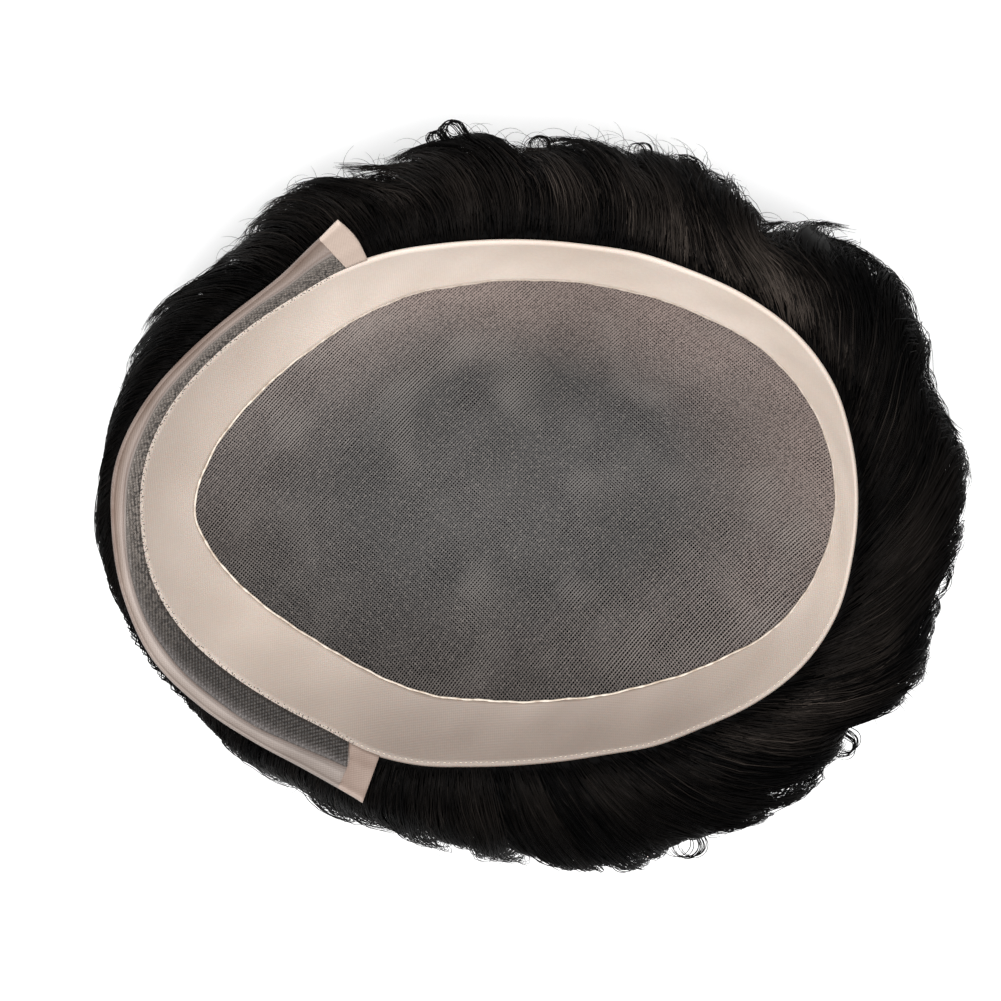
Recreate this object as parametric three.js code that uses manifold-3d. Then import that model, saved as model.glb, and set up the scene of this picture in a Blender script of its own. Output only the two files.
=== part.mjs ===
// Toupee hairpiece lying on its hair, hollow side up. Millimetres, +Z up, front hairline towards +X.
// The base is a head-shaped bowl: a net crown, a skin-coloured band, a lace strip and a pale margin
// with two side wings. The hair lies under it and round it as locks fused to a backing.

import * as THREE from 'three';
import { mergeVertices } from 'three/addons/utils/BufferGeometryUtils.js';
import Module from 'manifold-3d';

const wasm = await Module();
wasm.setup();

// Head form of the base, as half lengths of an ellipsoid
const DOME_FRONT = 112;
const DOME_BACK = 106;
const DOME_SIDE = 83;
const DOME_RISE = 74;
const FLARE_FROM = 0.87;        // share of the ellipsoid past which the cloth goes on straight
const FLARE_SLOPE = 1.25;       // rise of the flared edge for each millimetre outwards

// Cloth and clearances
const CLOTH_WALL = 1.1;
const SEAM_GAP = 0.35;          // between cloth pieces laid edge to edge
const HAIR_GAP = 0.35;          // between the cloth and the hair that hangs on it
const ZONE_GAP = 0.4;           // between two hair zones

// Front edge. The two ends of the strip and of the wings are angles in degrees from the front.
const STRIP_WIDTH = 4;          // where its share in the table is 1
const MARGIN_WIDTH = 3;         // likewise
const STRIP_ENDS = [-60.5, 57];
const WING_ENDS = [-65, 62];
const WING_TURN = 0.35;         // degrees over which the margin reaches back to the band past the strip
const RIM_LEAVES_MARGIN = 38;   // the hair's rim goes from the margin's edge, at this angle either side,
const RIM_ON_BAND = 63.5;       // to the band's edge, at this one

// Hair
const HAIR_DEPTH = 29;          // from the floor to the hollow's lowest point
const HAIR_SPREAD = 42;         // most that the hair stands out beyond the rim
const HAIR_TUCK = 24;           // how far the hair draws in again from its widest line to the floor
const WIDEST_LEVEL = 0.55;      // height of the widest line, as a share of the rim's height
const LOCK_RELIEF = 5;          // how far the locks stand out of the backing
const LOCK_WIDTH = 22;
const LOCK_THICKNESS = 11;
const LOCK_STEPS = 6;
const LOCK_SIDES = 6;
const ROOT_SINK = 0.75;         // how deep a lock's root lies, as a share of the relief
const LOCK_SINK = 0.25;         // how deep its middle line lies all along, as a share of its thickness
const ROOT_FULLNESS = 0.55;     // share of its full size that a lock has at its root
const FILLING = 1.6;            // how fast it fills out from there
const CROWN_SHARE = 0.5;        // edge of the crown zone, as a share of the ellipsoid
const CROWN_PAD = 22;           // radius of the flat place under the crown
const ZONE_SPLITS = [55, 130, 230, 305];
const HEADROOM_TOP = 160;       // above everything, for the body that is cut out of the hair

// Two rows of locks: those that leave the rim and fall outwards, and those that leave the crown, lie on
// the floor and turn up at the outside. Their two ends are places on the hair's profile. Rise is a share
// of the relief. What has two values lies between them, by the chance of the traits from the first on.
const LOCK_ROWS = [
  { count: 34, shift: 0.5, from: 0.02, to: [0.62, 0.86], broad: [0.8, 1.1], rise: [-0.2, 0.4], first: 1 },
  { count: 18, shift: 0.4, from: 1.76, to: [0.66, 0.82], broad: [0.85, 1.15], rise: [-0.4, 0], first: 5 },
];

// Places on the hair's profile where the backing has a ring of points
const BACKING_WAYS = [0.02, 0.2, 0.36, 0.5, 0.64, 0.8, 1, 1.4, 1.8];

// Mesh fineness
const SPOKE_STEP = 7.5;         // degrees
const BACKING_SPOKES = 24;
const PAD_SIDES = 24;
const NET_RINGS = 4;
const BAND_RINGS = 2;
const SLOPE_STEP = 0.5;         // distance over which a surface's slope is taken
const WAY_STEP = 0.02;          // and the same along the hair's profile

// Outline of the net and of the band, as shares of the ellipsoid, every 10 degrees from the front
const OUTLINE = [
  { at: 0, net: 0.736, band: 0.858 },
  { at: 10, net: 0.715, band: 0.861 },
  { at: 20, net: 0.687, band: 0.857 },
  { at: 30, net: 0.671, band: 0.848 },
  { at: 40, net: 0.665, band: 0.845 },
  { at: 50, net: 0.675, band: 0.850 },
  { at: 60, net: 0.687, band: 0.868 },
  { at: 70, net: 0.699, band: 0.873 },
  { at: 80, net: 0.698, band: 0.866 },
  { at: 90, net: 0.705, band: 0.863 },
  { at: 100, net: 0.711, band: 0.864 },
  { at: 110, net: 0.724, band: 0.870 },
  { at: 120, net: 0.738, band: 0.886 },
  { at: 130, net: 0.758, band: 0.894 },
  { at: 140, net: 0.783, band: 0.910 },
  { at: 150, net: 0.814, band: 0.919 },
  { at: 160, net: 0.832, band: 0.913 },
  { at: 170, net: 0.839, band: 0.896 },
  { at: 180, net: 0.843, band: 0.890 },
];
const OUTLINE_ROUND = [...OUTLINE, ...OUTLINE.slice(1, -1).reverse()];

// Widths of the lace strip and of the margin, as shares of STRIP_WIDTH and MARGIN_WIDTH, every 10
// degrees from one side of the front to the other
const FRONT_EDGE = [
  { at: -70, strip: 1.60, margin: 3.60 },
  { at: -60, strip: 1.25, margin: 1.90 },
  { at: -50, strip: 0.85, margin: 1.07 },
  { at: -40, strip: 0.72, margin: 0.80 },
  { at: -30, strip: 0.65, margin: 0.87 },
  { at: -20, strip: 0.64, margin: 1.03 },
  { at: -10, strip: 0.63, margin: 1.17 },
  { at: 0, strip: 0.72, margin: 0.97 },
  { at: 10, strip: 0.97, margin: 0.80 },
  { at: 20, strip: 1.27, margin: 0.93 },
  { at: 30, strip: 1.42, margin: 0.90 },
  { at: 40, strip: 1.42, margin: 0.87 },
  { at: 50, strip: 1.17, margin: 1.17 },
  { at: 60, strip: 1.00, margin: 1.57 },
  { at: 70, strip: 1.00, margin: 2.70 },
];

// Lie of the hair every 15 degrees from the front: spread is a share of HAIR_SPREAD,
// sweep turns a lock sideways along its length and hook turns its tip, both in degrees
const HAIR_LIE = [
  { at: 0, spread: 0.20, sweep: 5, hook: 3 },
  { at: 15, spread: 0.13, sweep: 5, hook: 3 },
  { at: 30, spread: 0.16, sweep: 6, hook: 3 },
  { at: 45, spread: 0.41, sweep: 6, hook: 4 },
  { at: 60, spread: 0.67, sweep: 6, hook: 5 },
  { at: 75, spread: 0.76, sweep: 6, hook: 6 },
  { at: 90, spread: 0.84, sweep: 7, hook: 5 },
  { at: 105, spread: 1.00, sweep: 9, hook: 2 },
  { at: 120, spread: 1.00, sweep: 13, hook: -2 },
  { at: 135, spread: 0.93, sweep: 16, hook: -6 },
  { at: 150, spread: 0.89, sweep: 18, hook: -9 },
  { at: 165, spread: 0.82, sweep: 18, hook: -10 },
  { at: 180, spread: 0.79, sweep: 18, hook: -10 },
  { at: 195, spread: 0.71, sweep: 17, hook: -9 },
  { at: 210, spread: 0.71, sweep: 14, hook: -6 },
  { at: 225, spread: 0.50, sweep: 11, hook: -2 },
  { at: 240, spread: 0.60, sweep: 8, hook: 2 },
  { at: 255, spread: 0.56, sweep: 5, hook: 6 },
  { at: 270, spread: 0.63, sweep: 4, hook: 8 },
  { at: 285, spread: 0.53, sweep: 5, hook: 8 },
  { at: 300, spread: 0.53, sweep: 6, hook: 7 },
  { at: 315, spread: 0.33, sweep: 7, hook: 5 },
  { at: 330, spread: 0.27, sweep: 6, hook: 4 },
  { at: 345, spread: 0.18, sweep: 5, hook: 3 },
];

const { clamp, degToRad, lerp, radToDeg, smoothstep } = THREE.MathUtils;

// Value at a place between evenly spaced ones, along a smooth curve through the four nearest
function curveThrough(valueAt, place) {
  const row = Math.floor(place);
  const [a, b, c, d] = [row - 1, row, row + 1, row + 2].map(valueAt);
  const f = place - row;
  return b + 0.5 * f * (c - a + f * (2 * a - 5 * b + 4 * c - d + f * (3 * (b - c) + d - a)));
}

// Reads a column of a table whose rows go evenly round the whole circle
function readRound(rows, column, degrees) {
  const valueAt = (row) => rows[THREE.MathUtils.euclideanModulo(row, rows.length)][column];
  return curveThrough(valueAt, degrees / (360 / rows.length));
}

// Reads a column of the front edge, with its first and last rows kept on past its ends
function readFront(column, degrees) {
  const signed = THREE.MathUtils.euclideanModulo(degrees + 180, 360) - 180;
  const last = FRONT_EDGE.length - 1;
  const spacing = (FRONT_EDGE[last].at - FRONT_EDGE[0].at) / last;
  const valueAt = (row) => FRONT_EDGE[clamp(row, 0, last)][column];
  return curveThrough(valueAt, clamp((signed - FRONT_EDGE[0].at) / spacing, 0, last));
}

// Degrees from the front, from 0 to 180 on either side
function fromFront(degrees) {
  return Math.abs(THREE.MathUtils.euclideanModulo(degrees + 180, 360) - 180);
}

// Radius of the ellipsoid's outline in plan
function domeRadius(degrees) {
  const along = Math.cos(degToRad(degrees));
  const across = Math.sin(degToRad(degrees));
  return 1 / Math.hypot(along / (along > 0 ? DOME_FRONT : DOME_BACK), across / DOME_SIDE);
}

// Height of the hollow's surface above the floor at a place in plan
function domeHeight(x, y) {
  const radius = Math.hypot(x, y);
  const full = domeRadius(radToDeg(Math.atan2(y, x)));
  const share = Math.min(radius / full, FLARE_FROM);
  const drop = Math.sqrt(1 - share * share);
  const slope = Math.min(DOME_RISE * FLARE_FROM / Math.sqrt(1 - FLARE_FROM ** 2) / full, FLARE_SLOPE);
  return HAIR_DEPTH + DOME_RISE * (1 - drop) + Math.max(radius - FLARE_FROM * full, 0) * slope;
}

// Point at a depth below the hollow's surface, measured square to it
function clothPoint(degrees, radius, depth) {
  const x = radius * Math.cos(degToRad(degrees));
  const y = radius * Math.sin(degToRad(degrees));
  const slopeX = (domeHeight(x + SLOPE_STEP, y) - domeHeight(x - SLOPE_STEP, y)) / (2 * SLOPE_STEP);
  const slopeY = (domeHeight(x, y + SLOPE_STEP) - domeHeight(x, y - SLOPE_STEP)) / (2 * SLOPE_STEP);
  const normal = new THREE.Vector3(-slopeX, -slopeY, 1).normalize();
  return new THREE.Vector3(x, y, domeHeight(x, y)).addScaledVector(normal, -depth);
}

// Edges of the cloth pieces in plan
const netEdge = (degrees) => readRound(OUTLINE_ROUND, 'net', degrees) * domeRadius(degrees);
const bandEdge = (degrees) => readRound(OUTLINE_ROUND, 'band', degrees) * domeRadius(degrees);
const stripEdge = (degrees) => bandEdge(degrees) + SEAM_GAP + STRIP_WIDTH * readFront('strip', degrees);
const marginEdge = (degrees) => stripEdge(degrees) + SEAM_GAP + MARGIN_WIDTH * readFront('margin', degrees);

// Closed body skinned over loops that all have the same number of points. A ring of loops closes on
// itself, and otherwise each end is closed by a fan to its tip, or to the middle of its loop.
function skin(loops, { ring = false, tips = [] } = {}) {
  const count = loops[0].length;
  const points = loops.flat();
  const faces = [];
  const last = ring ? loops.length : loops.length - 1;
  for (let i = 0; i < last; i += 1) {
    const here = i * count;
    const next = ((i + 1) % loops.length) * count;
    for (let j = 0; j < count; j += 1) {
      const k = (j + 1) % count;
      faces.push([here + j, next + j, next + k], [here + j, next + k, here + k]);
    }
  }
  if (!ring) {
    [0, loops.length - 1].forEach((index, end) => {
      const middle = loops[index].reduce((sum, p) => sum.add(p), new THREE.Vector3());
      const tip = points.push(tips[end] ?? middle.divideScalar(count)) - 1;
      for (let j = 0; j < count; j += 1) {
        const pair = [index * count + j, index * count + ((j + 1) % count)];
        faces.push(end === 0 ? [tip, ...pair] : [tip, ...pair.reverse()]);
      }
    });
  }
  return faceOutwards(points, faces);
}

// Indexed geometry from points and faces, turned so that its volume is positive
function faceOutwards(points, faces) {
  const cross = new THREE.Vector3();
  const wedge = ([a, b, c]) => points[a].dot(cross.crossVectors(points[b], points[c]));
  const volume = faces.reduce((sum, corners) => sum + wedge(corners), 0);
  const order = volume > 0 ? faces : faces.map(([a, b, c]) => [a, c, b]);
  const geometry = new THREE.BufferGeometry().setFromPoints(points);
  geometry.setIndex(order.flat());
  return geometry;
}

// Solid for joining and cutting
function toSolid(geometry) {
  const bare = geometry.clone();
  bare.deleteAttribute('normal');
  bare.deleteAttribute('uv');
  const merged = mergeVertices(bare, 1e-4);
  return new wasm.Manifold(new wasm.Mesh({
    numProp: 3,
    vertProperties: new Float32Array(merged.attributes.position.array),
    triVerts: new Uint32Array(merged.index.array),
  }));
}

// Geometry of a solid's largest body, without the scraps that a cut leaves at its edge
function toGeometry(solid) {
  const bodies = solid.decompose();
  const main = bodies.reduce((best, body) => (body.volume() > best.volume() ? body : best));
  const mesh = main.getMesh();
  const geometry = new THREE.BufferGeometry();
  geometry.setAttribute('position', new THREE.BufferAttribute(new Float32Array(mesh.vertProperties), 3));
  geometry.setIndex(new THREE.BufferAttribute(new Uint32Array(mesh.triVerts), 1));
  return geometry;
}

// Angles of the spokes that all the cloth and the hair's upper face share
function spokes(from, to) {
  const angles = [];
  for (let angle = Math.ceil(from / SPOKE_STEP) * SPOKE_STEP; angle < to; angle += SPOKE_STEP) {
    angles.push(angle);
  }
  return angles;
}

const ROUND = spokes(0, 360);
const spokesBetween = ([from, to]) => [from, ...spokes(from, to), to];

// Angles held apart from the ends of a stretch by a distance at a radius
function beyond(ends, distance, radiusAt) {
  return ends.map((end) => end + Math.sign(end) * radToDeg(distance / radiusAt(end)));
}

// Radii of the net's rings and then of the band's, out to the band's edge, at one angle
function bowlRadii(degrees) {
  const net = netEdge(degrees);
  const inner = Array.from({ length: NET_RINGS }, (_, i) => net * (i + 1) / NET_RINGS);
  const width = bandEdge(degrees) - net;
  return [...inner, ...Array.from({ length: BAND_RINGS }, (_, i) => net + width * (i + 1) / BAND_RINGS)];
}

// Net crown: two faces of rings round the lowest point
function netGeometry() {
  const ringPoints = (i, depth) => ROUND.map((angle) => clothPoint(angle, bowlRadii(angle)[i], depth));
  const face = (depth) => Array.from({ length: NET_RINGS }, (_, i) => ringPoints(i, depth));
  const middle = (depth) => clothPoint(0, 0, depth);
  return skin([...face(0), ...face(CLOTH_WALL).reverse()], { tips: [middle(0), middle(CLOTH_WALL)] });
}

// Cross section of a cloth strip at one angle, across its width and back along its underside
function stripSection(degrees, inner, outer, steps) {
  const radii = Array.from({ length: steps + 1 }, (_, i) => lerp(inner, outer, i / steps));
  const face = (depth) => radii.map((radius) => clothPoint(degrees, radius, depth));
  return [...face(0), ...face(CLOTH_WALL).reverse()];
}

// Skin-coloured band round the net
function bandGeometry() {
  const sections = ROUND.map((angle) => (
    stripSection(angle, netEdge(angle) + SEAM_GAP, bandEdge(angle), BAND_RINGS)
  ));
  return skin(sections, { ring: true });
}

// Dark lace strip along the front of the band
function stripGeometry() {
  const section = (angle) => stripSection(angle, bandEdge(angle) + SEAM_GAP, stripEdge(angle), 1);
  return skin(spokesBetween(STRIP_ENDS).map(section));
}

// Pale margin outside the strip, which reaches back to the band past the strip's ends
function marginGeometry() {
  const beside = (angle) => stripSection(angle, stripEdge(angle) + SEAM_GAP, marginEdge(angle), 2);
  const behind = (angle) => stripSection(angle, bandEdge(angle) + SEAM_GAP, marginEdge(angle), 2);
  const past = beyond(STRIP_ENDS, SEAM_GAP, stripEdge);
  const [near, far] = past.map((start, side) => {
    const end = WING_ENDS[side];
    return [start + Math.sign(start) * WING_TURN, lerp(start, end, 0.5), end].map(behind);
  });
  return skin([...near.reverse(), ...spokesBetween(past).map(beside), ...far]);
}

// Rim that the hair falls from: the margin's edge in front and the band's edge behind the wings
function hairRim(degrees) {
  const past = smoothstep(fromFront(degrees), RIM_LEAVES_MARGIN, RIM_ON_BAND);
  return lerp(marginEdge(degrees), bandEdge(degrees), past);
}

// Profile of the hair's outer form at one angle: out from the rim at 0, widest at half,
// back in to the floor at 1, and along the floor to the middle at 2
function hairProfile(degrees, way) {
  const rim = hairRim(degrees);
  const top = clothPoint(degrees, rim, CLOTH_WALL + HAIR_GAP).z;
  const widest = rim + HAIR_SPREAD * readRound(HAIR_LIE, 'spread', degrees);
  const level = WIDEST_LEVEL * top;
  const turn = Math.PI * Math.min(way, 1);
  if (way < 0.5) {
    return new THREE.Vector2(lerp(rim, widest, Math.sin(turn)), level + (top - level) * Math.cos(turn));
  }
  const foot = widest - HAIR_TUCK;
  const radius = foot + HAIR_TUCK * Math.sin(turn);
  return new THREE.Vector2(way < 1 ? radius : foot * (2 - way), level * (1 + Math.cos(turn)));
}

// Point at a height above the hair's outer form, and the direction that stands out of it there
function hairPoint(degrees, way, lift) {
  const here = hairProfile(degrees, way);
  const along = hairProfile(degrees, way + WAY_STEP).sub(hairProfile(degrees, way - WAY_STEP)).normalize();
  const turn = degToRad(degrees);
  const spread = (radius, z) => new THREE.Vector3(radius * Math.cos(turn), radius * Math.sin(turn), z);
  const normal = spread(-along.y, along.x);
  return { point: spread(here.x, here.y).addScaledVector(normal, lift), normal };
}

// Even-looking chance from 0 to 1 for a lock and one of its traits
function chance(index, trait) {
  const value = Math.sin(index * 12.9898 + trait * 78.233) * 43758.5453;
  return value - Math.floor(value);
}

// One lock: a tapered tube of flat sections that follows the hair's outer form
function lockGeometry({ angle, from, to, width, thickness, rise }) {
  const sweep = readRound(HAIR_LIE, 'sweep', angle);
  const hook = readRound(HAIR_LIE, 'hook', angle);
  const place = (s) => hairPoint(
    angle + sweep * Math.sin(s * Math.PI / 2) + hook * s ** 3,
    lerp(from, to, s),
    LOCK_RELIEF * lerp(-ROOT_SINK, rise, smoothstep(s, 0, 0.6)) - LOCK_SINK * thickness,
  );
  const loops = [];
  for (let i = 0; i < LOCK_STEPS; i += 1) {
    const s = (i + 0.15) / LOCK_STEPS;
    const { point, normal } = place(s);
    const ahead = place(s + WAY_STEP).point.sub(place(s - WAY_STEP).point).normalize();
    const side = new THREE.Vector3().crossVectors(ahead, normal).normalize();
    const fullness = Math.min(1, ROOT_FULLNESS + FILLING * s) * Math.sqrt(1 - s ** 3);
    loops.push(Array.from({ length: LOCK_SIDES }, (_, j) => {
      const round = 2 * Math.PI * j / LOCK_SIDES;
      return point.clone()
        .addScaledVector(side, 0.5 * width * fullness * Math.cos(round))
        .addScaledVector(normal, 0.5 * thickness * fullness * Math.sin(round));
    }));
  }
  return skin(loops, { tips: [place(0).point, place(1).point] });
}

// All the locks of one row. Those that leave the rim start back by their sweep, so that they end evenly.
function rowOfLocks({ count, shift, from, to, broad, rise, first }) {
  return Array.from({ length: count }, (_, i) => {
    const [aside, size, length, height] = [0, 1, 2, 3].map((trait) => chance(i, first + trait));
    const angle = (i + shift * aside) * 360 / count;
    const share = lerp(...broad, size);
    return lockGeometry({
      angle: from < 1 ? angle - readRound(HAIR_LIE, 'sweep', angle) : angle,
      from,
      to: lerp(...to, length),
      width: LOCK_WIDTH * share,
      thickness: LOCK_THICKNESS * share,
      rise: lerp(...rise, height),
    });
  });
}

// Backing of the hair: the whole outer form, drawn in by the locks' relief
function backingGeometry() {
  const angles = Array.from({ length: BACKING_SPOKES }, (_, i) => i * 360 / BACKING_SPOKES);
  const loops = BACKING_WAYS.map((way) => angles.map((angle) => hairPoint(angle, way, -LOCK_RELIEF).point));
  const middleTop = new THREE.Vector3(0, 0, hairProfile(0, 0).y);
  return skin(loops, { tips: [middleTop, new THREE.Vector3(0, 0, LOCK_RELIEF)] });
}

// Flat place under the crown that the hairpiece rests on
function padGeometry() {
  const depth = 2 * LOCK_RELIEF;
  const pad = new THREE.CylinderGeometry(CROWN_PAD, CROWN_PAD, depth, PAD_SIDES);
  return pad.rotateX(Math.PI / 2);
}

// Room that the hair leaves for the bowl: all that is above the net and the band, and their gap
function bowlRoomGeometry() {
  const depth = CLOTH_WALL + HAIR_GAP;
  const radii = (degrees) => {
    const full = bowlRadii(degrees);
    return [...full.slice(0, -1), full.at(-1) + HAIR_GAP];
  };
  const rings = radii(0).map((_, i) => ROUND.map((angle) => clothPoint(angle, radii(angle)[i], depth)));
  const above = rings.at(-1).map((p) => p.clone().setZ(HEADROOM_TOP));
  const tips = [clothPoint(0, 0, depth), new THREE.Vector3(0, 0, HEADROOM_TOP)];
  return skin([...rings, above], { tips });
}

// Room that the hair leaves for the strip, the margin and the wings
function frontRoomGeometry() {
  const depth = CLOTH_WALL + HAIR_GAP;
  const [near, far] = beyond(WING_ENDS, HAIR_GAP, bandEdge);
  const sections = [near, ...spokesBetween(STRIP_ENDS), far].map((angle) => {
    const inner = bandEdge(angle) - HAIR_GAP;
    const radii = [inner, stripEdge(angle), marginEdge(angle) + HAIR_GAP];
    const under = radii.map((radius) => clothPoint(angle, radius, depth));
    const above = [under[2], under[0]].map((p) => p.clone().setZ(HEADROOM_TOP));
    return [...under, ...above];
  });
  return skin(sections);
}

// Upright prism over a plan outline, from the floor to above everything
function prism(points) {
  const settings = { depth: HEADROOM_TOP, bevelEnabled: false };
  return toSolid(new THREE.ExtrudeGeometry(new THREE.Shape(points), settings));
}

// Prism over the crown zone, grown by a margin
function crownPrism(grow) {
  return prism(ROUND.map((angle) => {
    const radius = CROWN_SHARE * domeRadius(angle) + grow;
    return new THREE.Vector2(radius * Math.cos(degToRad(angle)), radius * Math.sin(degToRad(angle)));
  }));
}

// Prism over one wedge of the plan, held back from its two neighbours by half a gap each
function wedgePrism(from, to) {
  const reach = 3 * Math.max(DOME_FRONT, DOME_BACK);
  const half = degToRad(to - from) / 2;
  const middle = degToRad(from) + half;
  const apex = ZONE_GAP / 2 / Math.sin(half);
  const ray = (turn, radius) => new THREE.Vector2(
    apex * Math.cos(middle) + radius * Math.cos(turn),
    apex * Math.sin(middle) + radius * Math.sin(turn),
  );
  return prism([ray(0, 0), ray(middle - half, reach), ray(middle, reach), ray(middle + half, reach)]);
}

// Whole mass of hair, cut clear of the cloth
function hairMass() {
  const strands = [...LOCK_ROWS.flatMap(rowOfLocks), padGeometry()].map(toSolid);
  const mass = strands.reduce((sum, lock) => sum.add(lock), toSolid(backingGeometry()));
  return mass.subtract(toSolid(bowlRoomGeometry())).subtract(toSolid(frontRoomGeometry()));
}

// Hair zones, each one body
function hairZones() {
  const mass = hairMass();
  const ring = mass.subtract(crownPrism(ZONE_GAP / 2));
  const [frontRight, backRight, backLeft, frontLeft] = ZONE_SPLITS;
  const zone = (from, to) => toGeometry(ring.intersect(wedgePrism(from, to)));
  return {
    hair_crown: toGeometry(mass.intersect(crownPrism(-ZONE_GAP / 2))),
    hair_front: zone(frontLeft - 360, frontRight),
    hair_right: zone(frontRight, backRight),
    hair_back: zone(backRight, backLeft),
    hair_left: zone(backLeft, frontLeft),
  };
}

// Materials
function cloth(color, roughness) {
  return new THREE.MeshStandardMaterial({ color, roughness, metalness: 0, flatShading: true });
}

const hairMaterial = () => cloth(0x0b0908, 0.42);

function addPiece(parent, name, geometry, material) {
  const mesh = new THREE.Mesh(geometry, material);
  mesh.name = name;
  parent.add(mesh);
}

const base = new THREE.Group();
addPiece(base, 'mono_net', netGeometry(), cloth(0x625753, 0.62));
addPiece(base, 'skin_band', bandGeometry(), cloth(0xd9c8b6, 0.5));
addPiece(base, 'lace_strip', stripGeometry(), cloth(0x4e4643, 0.7));
addPiece(base, 'front_margin', marginGeometry(), cloth(0xc9b0a4, 0.55));

const hair = new THREE.Group();
Object.entries(hairZones()).forEach(([name, geometry]) => addPiece(hair, name, geometry, hairMaterial()));

// The hairpiece stands on the floor with the middle of its outline over the origin
const hairpiece = new THREE.Group();
hairpiece.add(base, hair);
const middle = new THREE.Box3().setFromObject(hairpiece).getCenter(new THREE.Vector3());
hairpiece.position.set(-middle.x, -middle.y, 0);
hairpiece.updateMatrixWorld(true);

export default hairpiece;
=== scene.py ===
import math

import bpy
import numpy as np
from mathutils import Matrix, Vector


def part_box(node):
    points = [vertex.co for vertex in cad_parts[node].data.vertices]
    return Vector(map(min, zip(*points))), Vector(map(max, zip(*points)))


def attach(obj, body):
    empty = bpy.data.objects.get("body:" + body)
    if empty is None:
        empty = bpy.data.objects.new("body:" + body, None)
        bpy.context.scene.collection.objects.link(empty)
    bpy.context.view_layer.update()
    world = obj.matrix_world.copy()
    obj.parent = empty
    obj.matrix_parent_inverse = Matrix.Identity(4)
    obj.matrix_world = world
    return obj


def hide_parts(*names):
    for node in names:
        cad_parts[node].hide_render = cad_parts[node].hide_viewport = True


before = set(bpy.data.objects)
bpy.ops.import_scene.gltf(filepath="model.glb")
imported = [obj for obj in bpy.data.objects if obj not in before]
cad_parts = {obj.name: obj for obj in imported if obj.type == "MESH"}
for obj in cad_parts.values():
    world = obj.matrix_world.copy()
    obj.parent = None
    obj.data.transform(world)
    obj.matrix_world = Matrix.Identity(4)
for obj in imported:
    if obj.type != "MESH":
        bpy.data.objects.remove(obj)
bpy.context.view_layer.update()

# Toupee hairpiece lying on its hair, hollow side up. Shapes are worked out in millimetres about the
# hollow's lowest point, as the model's are, and moved into the frame when a mesh is written.

MM = 0.001

# Head form of the base, the same as the model's
DOME_FRONT, DOME_BACK, DOME_SIDE, DOME_RISE = 112.0, 106.0, 83.0, 74.0
FLARE_FROM, FLARE_SLOPE = 0.87, 1.25
CLOTH_WALL, SEAM_GAP, HAIR_GAP = 1.1, 0.35, 0.35
HAIR_DEPTH = 29.0

# Front edge, with angles in degrees from the front and the near side first
STRIP_WIDTH, MARGIN_WIDTH = 4.0, 3.0
STRIP_ENDS, WING_ENDS = (-60.5, 57.0), (-65.0, 62.0)
RIM_LEAVES_MARGIN, RIM_ON_BAND = 38.0, 63.5

# Widths of the strip and of the margin, as shares of the two above, from 70 degrees on the near side
# to 70 on the far side
FRONT_FROM, FRONT_STEP = -70.0, 10.0
STRIP_SHARE = [1.60, 1.25, 0.85, 0.72, 0.65, 0.64, 0.63, 0.72, 0.97, 1.27, 1.42, 1.42, 1.17, 1.00, 1.00]
MARGIN_SHARE = [3.60, 1.90, 1.07, 0.80, 0.87, 1.03, 1.17, 0.97, 0.80, 0.93, 0.90, 0.87, 1.17, 1.57, 2.70]

# Threads, seam and stitches
TUBE_SIDES = 3
NET_PITCH, NET_HALF_WIDE, NET_HALF_HIGH, NET_STEP = 0.72, 0.205, 0.14, 3.6
NET_FIRST_DEPTH, NET_SECOND_DEPTH, NET_OVERLAP = 0.30, 0.50, 0.5
BAND_WEAVE, LACE_WEAVE, MARGIN_WEAVE, WEAVE_TURN = 0.78, 1.05, 0.62, 45.0
SEAM_RADIUS, STITCH_RADIUS, KNOT_RADIUS = 0.30, 0.1, 0.09
STITCH_STEP_DEGREES, KNOT_STEP_DEGREES = 1.15, 0.42

# Hair
HAIR_SPREAD, HAIR_TUCK, WIDEST_LEVEL, LOCK_RELIEF = 42.0, 24.0, 0.55, 5.0
LOCK_WIDTH, LOCK_THICKNESS = 22.0, 11.0
SIDE_LOCKS, FLOOR_LOCKS = 34, 18
LOCK_SUNK = 5.4
CLUMPS, FLOOR_CLUMPS = 110, 60
SIDE_STRANDS_A_ZONE, FLOOR_STRANDS, LOOSE_STRANDS = 2330, 1100, 640
SIDE_RADIUS, FLOOR_RADIUS, CURL_RADIUS, LOOSE_RADIUS = 0.16, 0.24, 0.15, 0.065

# Outlines as shares of the ellipsoid, every 10 degrees from the front to the back
NET_SHARE = [0.736, 0.715, 0.687, 0.671, 0.665, 0.675, 0.687, 0.699, 0.698, 0.705,
             0.711, 0.724, 0.738, 0.758, 0.783, 0.814, 0.832, 0.839, 0.843]
BAND_SHARE = [0.858, 0.861, 0.857, 0.848, 0.845, 0.850, 0.868, 0.873, 0.866, 0.863,
              0.864, 0.870, 0.886, 0.894, 0.910, 0.919, 0.913, 0.896, 0.890]

# Lie of the hair every 15 degrees from the front
SPREAD = [0.20, 0.13, 0.16, 0.41, 0.67, 0.76, 0.84, 1.00, 1.00, 0.93, 0.89, 0.82,
          0.79, 0.71, 0.71, 0.50, 0.60, 0.56, 0.63, 0.53, 0.53, 0.33, 0.27, 0.18]
SWEEP = [5, 5, 6, 6, 6, 6, 7, 9, 13, 16, 18, 18, 18, 17, 14, 11, 8, 5, 4, 5, 6, 7, 6, 5]
HOOK = [3, 3, 3, 4, 5, 6, 5, 2, -2, -6, -9, -10, -10, -9, -6, -2, 2, 6, 8, 8, 7, 5, 4, 3]

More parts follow.
